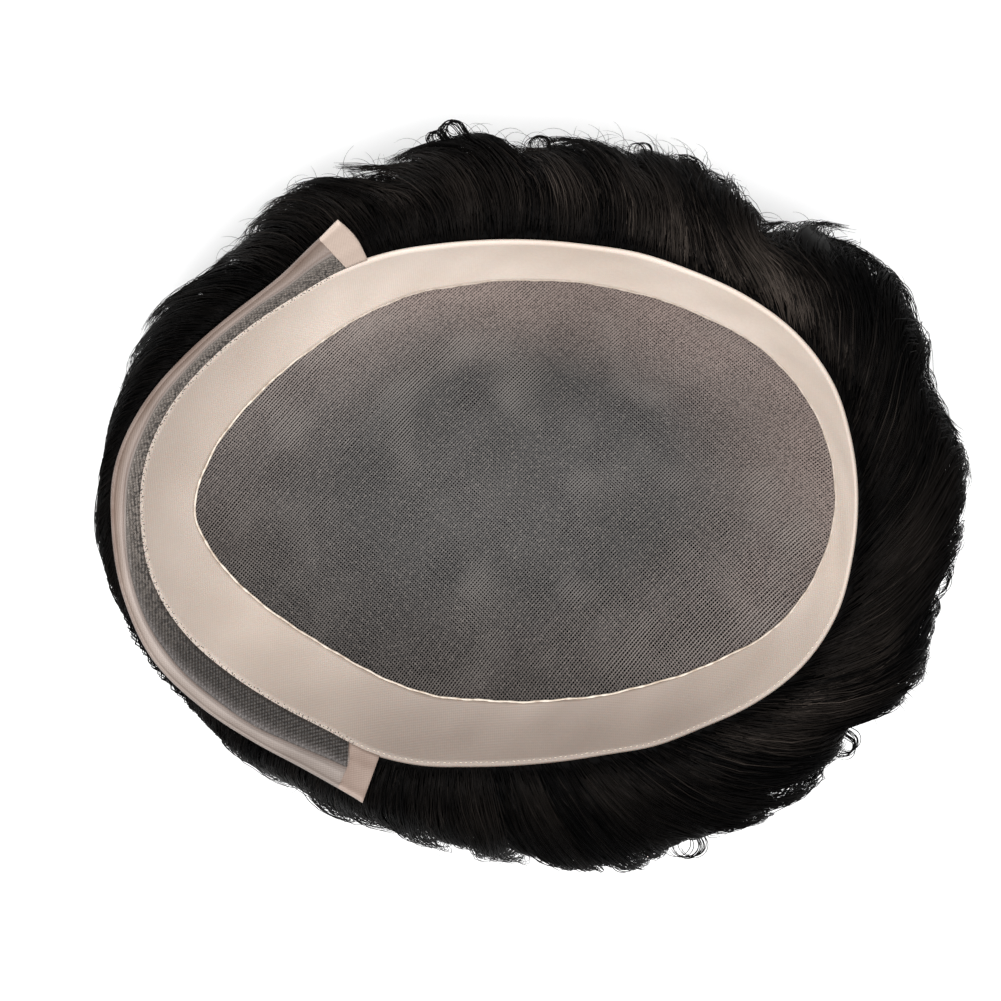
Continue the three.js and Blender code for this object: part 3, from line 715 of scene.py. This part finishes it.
def edge_marks(name, degrees, offset, along, across, size, material):
    """Short threads at the band's outer edge. Along is their run in degrees and across in mm."""
    t = np.linspace(-0.5, 0.5, 4)[None]
    angle = degrees[:, None] + along[:, None] * t
    radius = band_edge(angle) + offset[:, None] + across[:, None] * t
    paths = cloth_point(angle, radius, -0.1 * np.cos(np.pi * t) + 0.12)
    points, quads, caps = tubes(paths, np.broadcast_to((0.0, 0.0, 1.0), paths.shape), size, size)
    write_mesh(name, points, quads, caps, material, "band", values=np.zeros(len(points)))


def edge_stitches(stitch, knot):
    """Running stitches along the band's outer edge, and hair knots scattered beside them at the front."""
    degrees = np.arange(-58.0, 165.0, STITCH_STEP_DEGREES)
    count = len(degrees)
    edge_marks(
        "band_stitches", degrees + rng.normal(0, 0.09, count), rng.normal(-0.42, 0.07, count),
        rng.uniform(0.35, 0.62, count), rng.normal(0.0, 0.09, count), STITCH_RADIUS, stitch,
    )
    degrees = np.arange(-57.0, 56.0, KNOT_STEP_DEGREES)
    count = len(degrees)
    edge_marks(
        "band_knots", degrees + rng.normal(0, 0.2, count), rng.uniform(-0.65, 0.1, count),
        rng.normal(0.0, 0.12, count), rng.uniform(0.15, 0.42, count), KNOT_RADIUS, knot,
    )


def strip_piece(material):
    degrees = np.linspace(*STRIP_ENDS, 231)
    share = np.linspace(0, 1, 7)
    radius = lerp(band_edge(degrees)[:, None] - 0.1, strip_edge(degrees)[:, None] + 0.2, share)
    angle = np.broadcast_to(degrees[:, None], radius.shape)
    top = cloth_point(angle, radius, np.full(radius.shape, 0.35))
    bottom = cloth_point(angle, radius, np.full(radius.shape, CLOTH_WALL))
    points, quads = plate(top, bottom, ring=False)
    across = np.tile(np.broadcast_to(share, radius.shape).ravel(), 2)
    return write_mesh("lace_cloth", points, quads, NO_TRIANGLES, material, "lace", values=across)


def margin_piece(material):
    """Pale margin with a rolled outer lip. Its inner edge drops back to the band past the strip's ends,
    round a soft corner on the far side."""
    near_wing = np.linspace(WING_ENDS[0], STRIP_ENDS[0] - 0.05, 10)
    far_wing = np.linspace(STRIP_ENDS[1] + 0.05, WING_ENDS[1], 10)
    degrees = np.concatenate([near_wing, np.linspace(*STRIP_ENDS, 201), far_wing])
    ends = (degrees < STRIP_ENDS[0]) | (degrees > STRIP_ENDS[1])
    inner = np.where(ends, band_edge(degrees) + 0.1, strip_edge(degrees) + 0.2)
    share = np.linspace(0, 1, 17)
    radius = lerp(inner[:, None], margin_edge(degrees)[:, None], share)
    angle = np.broadcast_to(degrees[:, None], radius.shape)
    far_past = np.clip((WING_ENDS[1] - angle) / (WING_ENDS[1] - STRIP_ENDS[1]), 0, 1)
    corner = np.where(angle > STRIP_ENDS[1], far_past * np.exp(-(radius - inner[:, None]) / 0.9), 0.0)
    near_past = np.clip((STRIP_ENDS[0] - angle) / (STRIP_ENDS[0] - WING_ENDS[0]), 0, 1)
    angle = angle - 1.8 * corner - 0.7 * near_past * np.sin(np.pi * share)
    lip = 0.22 * np.exp(-((share - 0.93) / 0.07) ** 2) + 0.16 * np.exp(-((share - 0.35) / 0.10) ** 2)
    ripple = 0.08 * np.sin(np.radians(angle) * 31 + share * 3)
    top = cloth_point(angle, radius, 0.30 - lip + ripple)
    bottom = cloth_point(angle, radius, np.full(radius.shape, CLOTH_WALL))
    points, quads = plate(top, bottom, ring=False)
    across = np.where(ends[:, None], 2.0, share)
    return write_mesh(
        "margin_cloth", points, quads, NO_TRIANGLES, material, "margin",
        values=np.tile(across.ravel(), 2),
    )


# Hair strands and locks


def lobe_column(column):
    """One column of the lobes, repeated a turn before and after."""
    values = np.array([row[column] for row in LOBES])
    turn = 360.0 if column < 2 else 0.0
    return np.concatenate([values - turn, values, values + turn])


ROOTS, TIPS, BOWS, DIPS, DRAWS = (lobe_column(column) for column in range(5))
LOBE_MIDDLES = (ROOTS[:-1] + ROOTS[1:]) / 2


def tip_angle(root):
    return np.interp(root, ROOTS, TIPS)


def bow_angle(root):
    return np.interp(root, LOBE_MIDDLES, BOWS[:-1])


def lobe_turn(degrees):
    """The same angle within the turn that the lobes are read in, from -90 to 270."""
    return np.mod(degrees + 90.0, 360.0) - 90.0


def dip_depth(degrees, way):
    """How far the outline falls back between two lobes."""
    turned = lobe_turn(degrees)
    row = np.clip(np.searchsorted(TIPS, turned) - 1, 0, len(TIPS) - 2)
    share = (turned - TIPS[row]) / (TIPS[row + 1] - TIPS[row])
    depth = lerp(DIPS[row], DIPS[row + 1], share) * (1 - np.sin(np.pi * share) ** 0.6)
    depth = depth + lerp(DRAWS[row], DRAWS[row + 1], share)
    return depth * smooth(way, 0.08, 0.4) * (1 - smooth(way, 0.7, 1.0))


def under_cloth(points):
    """The points, pressed below the underside of the cloth where it covers them."""
    radius = np.hypot(points[..., 0], points[..., 1])
    degrees = np.degrees(np.arctan2(points[..., 1], points[..., 0]))
    front = (degrees > WING_ENDS[0]) & (degrees < WING_ENDS[1])
    cover = np.where(front, margin_edge(degrees), band_edge(degrees)) + 0.3
    roof = dome_height(points[..., 0], points[..., 1]) - 2.4
    points[..., 2] = np.where(radius < cover, np.minimum(points[..., 2], roof), points[..., 2])
    points[..., 2] = np.maximum(points[..., 2], 0.3)
    return points


def lock_list():
    """The model's own locks, side locks first."""
    locks = []
    for i in range(SIDE_LOCKS):
        angle = (i + 0.5 * chance(i, 1)) * 360 / SIDE_LOCKS
        broad = lerp(0.8, 1.1, chance(i, 2))
        locks.append(dict(
            angle=angle - float(read_round(SWEEP, angle)), start=0.02, end=lerp(0.62, 0.86, chance(i, 3)),
            broad=broad, rise=lerp(-1, 2, chance(i, 4)),
        ))
    for i in range(FLOOR_LOCKS):
        locks.append(dict(
            angle=(i + 0.4 * chance(i, 5)) * 360 / FLOOR_LOCKS,
            start=1.76, end=lerp(0.66, 0.82, chance(i, 7)),
            broad=lerp(0.85, 1.15, chance(i, 6)), rise=lerp(-2, 0, chance(i, 8)),
        ))
    return locks


def stacked_rings(rings):
    """A closed skin through rings of points, with a cap at each end."""
    steps, sides = rings.shape[:2]
    index = np.arange(steps * sides).reshape(steps, sides)
    follow = np.roll(index, -1, 1)
    quads = np.stack([index[:-1], follow[:-1], follow[1:], index[1:]], -1).reshape(-1, 4)
    points = np.concatenate([rings.reshape(-1, 3), [rings[0].mean(0)], [rings[-1].mean(0)]])
    ends = steps * sides
    caps = np.concatenate([
        np.stack([np.full(sides, ends), follow[0], index[0]], -1),
        np.stack([np.full(sides, ends + 1), index[-1], follow[-1]], -1),
    ])
    if outward(points, quads) is not quads:
        quads, caps = quads[:, ::-1], caps[:, ::-1]
    return points, quads, caps


def lock_bodies(name, locks, material):
    """Smooth, finely grooved bodies of the locks, a little below the strands that cover them."""
    steps, sides = 20, 20
    s = (np.arange(steps) + 0.3) / steps
    parts = []
    for number, lock in enumerate(locks):
        angle = lock["angle"]
        degrees = angle + read_round(SWEEP, angle) * np.sin(s * np.pi / 2) + read_round(HOOK, angle) * s ** 3
        way = lerp(lock["start"], lock["end"], s)
        thickness, width = LOCK_THICKNESS * lock["broad"], LOCK_WIDTH * lock["broad"]
        lift = lerp(-0.75 * LOCK_RELIEF, lock["rise"], smooth(s, 0, 0.6)) - 0.25 * thickness
        lift = lift - LOCK_SUNK
        path, normal = hair_point(degrees, way, lift - dip_depth(degrees, way))
        side = np.cross(np.gradient(path, axis=0), normal)
        side /= np.linalg.norm(side, axis=1, keepdims=True)
        fullness = np.minimum(1, 0.55 + 1.6 * s) * np.sqrt(1 - s ** 3)
        turn = 2 * np.pi * np.arange(sides) / sides
        groove = 1 + 0.08 * np.sin(turn * 9 + number) * np.sin(turn * 4 + 2 * number)
        half_wide, half_high = 0.5 * width * fullness, 0.5 * thickness * fullness
        rings = (
            path[:, None]
            + side[:, None] * half_wide[:, None, None] * (groove * np.cos(turn))[:, None]
            + normal[:, None] * half_high[:, None, None] * (groove * np.sin(turn))[:, None]
        )
        parts.append(stacked_rings(under_cloth(rings)))
    points, quads, caps = joined(parts)
    return write_mesh(name, points, quads, caps, material, "hair", values=np.full(len(points), 0.2))


def backing_piece(material):
    """The hair's mass under the locks, up to the underside of the cloth."""
    degrees = np.arange(0, 360, 3.0)
    under = CLOTH_WALL + HAIR_GAP
    upper = [
        cloth_point(degrees, (hair_rim(degrees) - 0.5) * share, under)
        for share in np.linspace(0.04, 1.0, 18)
    ]
    ways = np.concatenate([np.linspace(0.03, 1.0, 18), np.linspace(1.1, 1.95, 8)])
    outer = []
    for way in ways:
        lift = -LOCK_RELIEF * min(1, way / 0.15) - dip_depth(degrees, np.full(len(degrees), way))
        outer.append(hair_point(degrees, way, lift)[0])
    points, quads, caps = stacked_rings(np.stack(upper + outer))
    tone = np.full(len(points), 0.1)
    return write_mesh("hair_backing", points, quads, caps, material, "hair", values=tone)


def strand_paths(root, clump, start, end, lift, steps):
    """Paths that follow the lobes and draw together towards the tips of their clumps."""
    count = len(root)
    s = np.linspace(0, 1, steps)[None]
    kinds = np.random.default_rng(11).random((CLUMPS, 8))[clump]
    kind = [kinds[:, k:k + 1] for k in range(8)]
    middle = ((clump + 0.5) * 360 / CLUMPS)[:, None]
    middle = root[:, None] + np.mod(middle - root[:, None] + 180.0, 360.0) - 180.0
    gathered = lerp(root[:, None], middle, lerp(0.6, 0.95, kind[0]) * s ** 1.4)
    turned = lobe_turn(middle)
    travel, bow = tip_angle(turned) - turned, bow_angle(turned)
    phase = 0.6 * rng.random((count, 1)) + 6.0 * kind[1]
    sway = lerp(0.5, 2.6, kind[2]) * s ** 1.1
    curl = np.where(kind[3] < 0.45, lerp(-5.0, 5.0, kind[4]), 0.0) * smooth(s, 0.62, 1.0) ** 1.5
    degrees = gathered + travel * s ** 1.25 * lerp(0.8, 1.15, kind[5]) + bow * np.sin(np.pi * s ** 0.9)
    degrees = degrees + curl + 0.8 * sway * np.sin(2 * np.pi * 1.25 * s + phase)
    reach = end[:, None] * lerp(0.88, 1.08, kind[6]) - 0.02 * np.abs(curl)
    way = lerp(start[:, None], reach, s ** 0.95)
    height = lift[:, None] + sway * 0.5 * np.sin(2 * np.pi * 1.1 * s + phase + 1.0)
    height = height + lerp(-3.2, 1.3, kind[7]) * smooth(s, 0.1, 0.8) - dip_depth(degrees, way)
    height = height + rng.normal(0, 0.45, (count, 1)) * s
    height = np.where(s < 0.12, np.minimum(height, -0.4), height)
    return hair_point(degrees, way, height)


def painted_sheen(paths):
    """Painted sheen in the hair's colour, as a share: most on the near side, half way out from the rim,
    and at the brown tufts on the far right."""
    degrees = np.degrees(np.arctan2(paths[..., 1], paths[..., 0]))
    beyond = np.hypot(paths[..., 0], paths[..., 1]) - hair_rim(degrees)
    turned = np.mod(degrees, 360.0)
    middle = np.interp(turned, [150, 180, 215, 226, 240, 255, 275], [14, 14, 5, 7, 12, 16, 15])
    place = np.exp(-((beyond - middle) / 7.0) ** 2)
    side = np.interp(
        turned, [0, 60, 120, 136, 148, 160, 185, 205, 218, 228, 246, 262, 285, 310, 360],
        [0.08, 0.1, 0.15, 0.4, 0.8, 0.25, 0.12, 0.25, 1.5, 1.0, 0.9, 0.4, 0.22, 0.12, 0.08],
    )
    return 0.07 + place * side


def strand_mesh(name, paths, normal, wide, tone, material):
    """One closed narrow tube along each path."""
    count, steps = paths.shape[:2]
    paths = under_cloth(paths)
    # The tone written to the points is the strand's own tone times the painted sheen.
    values = np.repeat((tone[:, None] * painted_sheen(paths)).ravel(), TUBE_SIDES)
    across = np.cross(np.gradient(paths, axis=1), normal)
    s = np.linspace(0, 1, steps)[None]
    taper = wide * (1 - 0.75 * s ** 3)
    points, quads, caps = tubes(paths, across, taper, taper * 0.8)
    return write_mesh(name, points, quads, caps, material, "hair", values=values)


def side_strands(material):
    """Hair from the rim outwards and down, in four pieces round the base."""
    for number in range(4):
        count = SIDE_STRANDS_A_ZONE
        root = number * 90 - 15 + 90 * rng.random(count)
        clump = np.mod(np.floor(root / 360 * CLUMPS + rng.normal(0, 0.45, count)), CLUMPS).astype(int)
        layer = rng.random(count)
        start, end = lerp(0.0, 0.12, rng.random(count)), lerp(0.95, 0.55, layer)
        paths, normal = strand_paths(root, clump, start, end, lerp(-1.8, 1.6, layer), 11)
        shade = np.random.default_rng(13).random(CLUMPS)[clump]
        tone = np.clip(0.05 + 0.8 * shade ** 1.3 + rng.normal(0, 0.13, count), 0, 1)
        tone = np.where(rng.random(count) < 0.035, 1.6, tone)
        strand_mesh(f"hair_side_strands_{number + 1}", paths, normal, SIDE_RADIUS, tone, material)


def floor_strands(material):
    """Hair that leaves the crown, lies on the floor and turns up outside."""
    count, steps = FLOOR_STRANDS, 13
    root = 360 * rng.random(count) - 15
    clump = np.floor(root / 360 * FLOOR_CLUMPS + FLOOR_CLUMPS).astype(int) % FLOOR_CLUMPS
    middle = (clump + 0.5) * 360 / FLOOR_CLUMPS
    middle = root + np.mod(middle - root + 180.0, 360.0) - 180.0
    s = np.linspace(0, 1, steps)[None]
    kind = np.random.default_rng(12).random((FLOOR_CLUMPS, 3))[clump]
    degrees = lerp(root[:, None], middle[:, None], 0.7 * s ** 1.5)
    degrees = degrees + lerp(-3, 9, kind[:, :1]) * s + 1.2 * np.sin(5.5 * s + 6 * kind[:, 1:2])
    way = lerp(lerp(1.3, 1.9, rng.random((count, 1))), lerp(0.62, 0.8, kind[:, 2:3]), s)
    height = lerp(-1.0, 1.0, rng.random((count, 1))) - dip_depth(degrees, way)
    paths, normal = hair_point(degrees, way, np.broadcast_to(height, way.shape))
    strand_mesh("hair_floor_strands", paths, normal, FLOOR_RADIUS, rng.random(count) * 0.5, material)


def arc_paths(base, angle, heading, radius, arc, run, fall, steps):
    """Paths that run straight, then bend in an arc, seen from above. Heading and arc are in degrees."""
    t = np.linspace(0, 1, steps)[None]
    turn, lead, arc = (np.radians(v)[:, None] for v in (angle, heading, arc))
    bent = np.clip((t - 0.3) / 0.7, 0, 1) * arc
    out = run[:, None] * np.clip(t / 0.3, 0, 1) + radius[:, None] * np.sin(np.abs(bent))
    side = np.sign(arc) * radius[:, None] * (1 - np.cos(bent))
    first = out * np.cos(lead) - side * np.sin(lead)
    second = out * np.sin(lead) + side * np.cos(lead)
    x = base[:, :1] + first * np.cos(turn) - second * np.sin(turn)
    y = base[:, 1:2] + first * np.sin(turn) + second * np.cos(turn)
    return np.stack([x, y, base[:, 2:] + fall[:, None] * t], -1)


def curled_strands(material):
    """The curled locks that stand out of the outline, each a few strands that lie close together."""
    rows = np.array([row for row in CURLS for _ in range(row[5])], float)
    count = len(rows)
    angle, way, heading, radius, arc, _, stand_out = rows.T
    angle = angle + rng.normal(0, 0.45, count)
    radius = radius * (1 + rng.normal(0, 0.09, count))
    run = np.full(count, 6.0) + rng.normal(0, 0.5, count)
    lead = np.radians(heading)
    farthest = run * np.cos(lead) + radius * (1 - np.abs(np.sin(lead)) * 0.5)
    base, _ = hair_point(angle, way, stand_out - farthest - dip_depth(angle, way))
    paths = arc_paths(
        base, angle, heading + rng.normal(0, 4, count), radius, arc * (1 + rng.normal(0, 0.05, count)), run,
        rng.normal(-2.0, 0.9, count), 22,
    )
    tone = np.clip(rng.normal(0.3, 0.2, count), 0, 1)
    normal = np.broadcast_to((0.0, 0.0, 1.0), paths.shape)
    strand_mesh("hair_curls", paths, normal, CURL_RADIUS, tone, material)


def loose_strands(material):
    """Fine single hairs that leave the outline in shallow arcs."""
    count = LOOSE_STRANDS
    angle = rng.choice([0.0, 1.0, 2.0], count, p=[0.5, 0.22, 0.28])
    angle = np.choose(angle.astype(int), [
        rng.uniform(222, 305, count), rng.uniform(0, 360, count), rng.uniform(15, 110, count),
    ])
    way = rng.uniform(0.34, 0.62, count)
    base, _ = hair_point(angle, way, -5.0 - dip_depth(angle, way))
    side = np.where(rng.random(count) < 0.72, 1.0, -1.0)
    paths = arc_paths(
        base, angle, side * rng.uniform(5, 65, count), rng.uniform(2, 7, count),
        side * rng.uniform(-60, 140, count), rng.uniform(3.0, 6.2, count), rng.normal(-2.5, 2.0, count), 12,
    )
    tone = np.clip(rng.normal(0.5, 0.3, count), 0, 1)
    normal = np.broadcast_to((0.0, 0.0, 1.0), paths.shape)
    strand_mesh("hair_loose_strands", paths, normal, LOOSE_RADIUS, tone, material)


# Floor, light and camera


def plain_material(name, colour, roughness):
    s = Shader(name)
    s.set(Base_Color=(*colour, 1.0), Roughness=roughness)
    return s.material


def make_floor():
    bpy.ops.mesh.primitive_plane_add(size=6.0, location=(0, 0, 0))
    floor = bpy.context.object
    floor.name = "floor"
    floor.data.materials.append(plain_material("floor_white", (0.95, 0.95, 0.95), 0.8))


def area_light(name, place, size, power, aim=(0, 0, 0.04)):
    data = bpy.data.lights.new(name, "AREA")
    data.energy = power
    data.shape = "DISK"
    data.size = size
    light = bpy.data.objects.new(name, data)
    light.location = place
    light.rotation_euler = (Vector(place) - Vector(aim)).to_track_quat("Z", "Y").to_euler()
    bpy.context.scene.collection.objects.link(light)


def make_lights():
    area_light("key", (0.35, 0.6, 1.4), 1.2, 12)
    area_light("top", (-0.25, -0.15, 1.6), 1.2, 12.5)
    area_light("near_fill", (0.0, -1.3, 1.3), 1.2, 13)
    world = bpy.data.worlds.new("studio")
    world.use_nodes = True
    world.node_tree.nodes["Background"].inputs["Color"].default_value = (1, 1, 1, 1)
    world.node_tree.nodes["Background"].inputs["Strength"].default_value = 0.92
    bpy.context.scene.world = world
    bpy.context.scene.view_settings.view_transform = "Standard"


def make_camera():
    data = bpy.data.cameras.new("camera")
    data.lens = LENS_MM
    data.sensor_width = SENSOR_MM
    data.clip_start, data.clip_end = 0.01, 20.0
    camera = bpy.data.objects.new("camera", data)
    aim = Vector((SHIFT[0], SHIFT[1] + AIM_ACROSS, HAIR_DEPTH + AIM_ABOVE_LOW_POINT)) * MM
    tilt = math.radians(ELEVATION)
    back = Vector((0, -math.cos(tilt), math.sin(tilt)))
    camera.matrix_world = (
        Matrix.Translation(aim + back * DISTANCE * MM)
        @ back.to_track_quat("Z", "Y").to_matrix().to_4x4()
        @ Matrix.Rotation(math.radians(ROLL), 4, "Z")
    )
    bpy.context.scene.collection.objects.link(camera)
    bpy.context.scene.camera = camera


def make_base():
    """The cloth pieces, seam, stitches and knots, with the model's matching cloth parts hidden."""
    net = net_piece(net_material())
    band = band_piece(band_material())
    strip = strip_piece(lace_material())
    margin = margin_piece(margin_material())
    seam_piece(seam_material())
    stitch = stitch_material()
    knot = hair_material("knot_hair", (0.006, 0.005, 0.005), (0.03, 0.02, 0.02), 0.2)
    edge_stitches(stitch, knot)
    for piece, node, flat, area, held, rests_on in (
        (net, "mono_net", (0.135, 0.19), 0.0175, "stretched", ["skin_band"]),
        (band, "skin_band", (0.025, 0.53), 0.0092, "stretched", ["hair_back"]),
        (strip, "lace_strip", (0.010, 0.19), 0.00125, "laid", ["hair_front"]),
        (margin, "front_margin", (0.015, 0.21), 0.00130, "laid", ["hair_front"]),
    ):
        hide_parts(node)


def make_hair():
    under = hair_material("hair_mass", (0.0013, 0.0012, 0.0012), (0.004, 0.0034, 0.003), 0.015)
    strand = hair_material("hair_strand", (0.0013, 0.0013, 0.0014), (0.072, 0.058, 0.049), 0.022)
    backing = backing_piece(under)
    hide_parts("hair_crown", "hair_front", "hair_right", "hair_back", "hair_left")
    locks = lock_list()
    lock_bodies("hair_locks_side", locks[:SIDE_LOCKS], under)
    lock_bodies("hair_locks_floor", locks[SIDE_LOCKS:], under)
    side_strands(strand)
    floor_strands(strand)
    curled_strands(strand)
    loose_strands(strand)


make_camera()
make_floor()
make_lights()
make_base()
make_hair()
